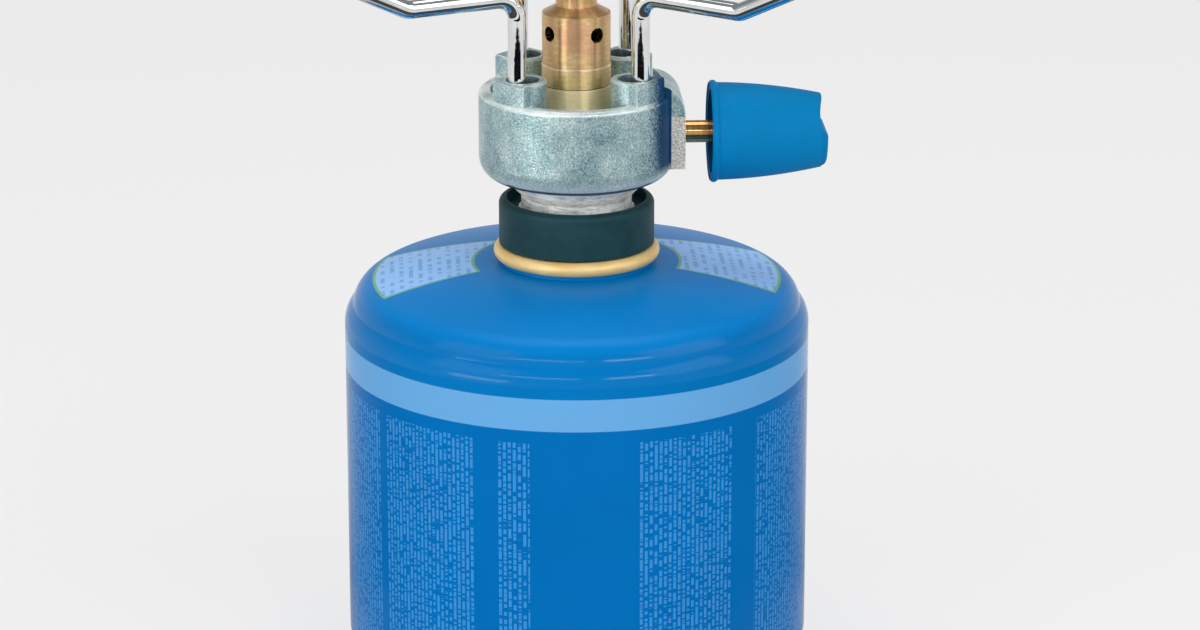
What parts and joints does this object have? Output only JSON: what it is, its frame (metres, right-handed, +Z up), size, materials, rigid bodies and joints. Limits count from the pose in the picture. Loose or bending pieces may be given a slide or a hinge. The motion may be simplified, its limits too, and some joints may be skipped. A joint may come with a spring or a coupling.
{
  "type": "camping gas stove",
  "caption": "Single-burner camping gas stove on a domed valve cartridge, with a needle-valve drum, side knob, brass burner and swivelling bent-wire pan supports.",
  "frame": {"origin": "on the cartridge's upright axis, in the plane of the seam ring that it stands on", "axes": "+Z up along the cartridge's axis, +X out along the valve spindle to the knob, -Y towards the viewer of the picture"},
  "size_m": [0.1457, 0.1189, 0.1796],
  "materials": {
    "blue_lacquer": "glossy printed lacquer on drawn steel sheet",
    "tinplate": "bare tinplate, bright",
    "gold_lacquer": "gold lacquer on pressed tinplate",
    "seal_rubber": "black nitrile, moulded",
    "acetal": "natural acetal, moulded",
    "spring_steel": "drawn spring steel",
    "collar_plastic": "dark green-grey glass-filled nylon, satin",
    "turned_aluminium": "lathe-turned, bright",
    "brass": "turned, bare",
    "tinted_brass": "turned, bare, heat tinted",
    "spindle_brass": "turned, reddish",
    "zinc_casting": "die-cast zinc alloy, passivated, fine grained and bluish",
    "ptfe": "white packing, waxy",
    "knob_plastic": "blue moulded plastic, satin",
    "stainless": "pressed stainless sheet",
    "chrome_wire": "bright chrome plate on drawn steel wire"
  },
  "bodies": {
    "cartridge": {"can_shell": "blue_lacquer", "can_base": "tinplate", "valve_cup": "gold_lacquer", "cup_gasket": "seal_rubber", "valve_housing": "acetal", "stem_gasket": "seal_rubber", "valve_spring": "spring_steel"},
    "valve_stem": {"valve_stem": "acetal"},
    "stove_head": {"connector_collar": "collar_plastic", "connector_neck": "turned_aluminium", "connector_o_ring": "seal_rubber", "inlet_probe": "brass", "inlet_filter": "brass", "drum_body": "zinc_casting", "valve_seat": "brass", "spindle_packing": "ptfe", "gland_nut": "brass", "gas_jet": "brass", "burner_base": "brass", "burner_tube": "tinted_brass", "burner_head": "tinted_brass", "burner_gauze": "stainless", "burner_cap": "stainless", "leg_washers": "spring_steel", "leg_clips": "spring_steel"},
    "needle": {"valve_needle": "acetal"},
    "knob": {"control_knob": "knob_plastic", "knob_clip": "spring_steel", "valve_spindle": "spindle_brass", "spindle_o_ring": "seal_rubber"},
    "arm_front_left": {"pan_support_front_left": "chrome_wire"},
    "arm_front_right": {"pan_support_front_right": "chrome_wire"},
    "arm_rear_left": {"pan_support_rear_left": "chrome_wire"},
    "arm_rear_right": {"pan_support_rear_right": "chrome_wire"}
  },
  "joints": [
    {"name": "head_turn", "type": "hinge", "parent": "cartridge", "child": "stove_head", "pos_m": [0, 0, 0.104], "axis": [0, 0, 1], "range_deg": [0, 60]},
    {"name": "needle_slide", "type": "slide", "parent": "stove_head", "child": "needle", "axis": [1, 0, 0], "range_m": [0, 0.00125]},
    {"name": "knob_turn", "type": "hinge", "parent": "stove_head", "child": "knob", "pos_m": [0.03, 0, 0.12582], "axis": [1, 0, 0], "range_deg": [0, 540]},
    {"name": "stem_press", "type": "slide", "parent": "cartridge", "child": "valve_stem", "axis": [0, 0, 1], "range_m": [-0.0015, 0], "stiffness_N_per_m": 8, "springref_m": 0.0005, "deforming": ["valve_spring"]},
    {"name": "front_left_swing", "type": "hinge", "parent": "stove_head", "child": "arm_front_left", "pos_m": [-0.01397, -0.01258, 0.14], "axis": [0, 0, 1], "range_deg": [-24, 66]},
    {"name": "front_right_swing", "type": "hinge", "parent": "stove_head", "child": "arm_front_right", "pos_m": [0.01397, -0.01258, 0.14], "axis": [0, 0, 1], "range_deg": [-51, 39]},
    {"name": "rear_left_swing", "type": "hinge", "parent": "stove_head", "child": "arm_rear_left", "pos_m": [-0.01258, 0.01397, 0.14], "axis": [0, 0, 1], "range_deg": [-47, 43]},
    {"name": "rear_right_swing", "type": "hinge", "parent": "stove_head", "child": "arm_rear_right", "pos_m": [0.01258, 0.01397, 0.14], "axis": [0, 0, 1], "range_deg": [-43, 47]}
  ],
  "couplings": [
    {"joint": "needle_slide", "follows": "knob_turn", "m_per_rad": 0.00012732}
  ]
}
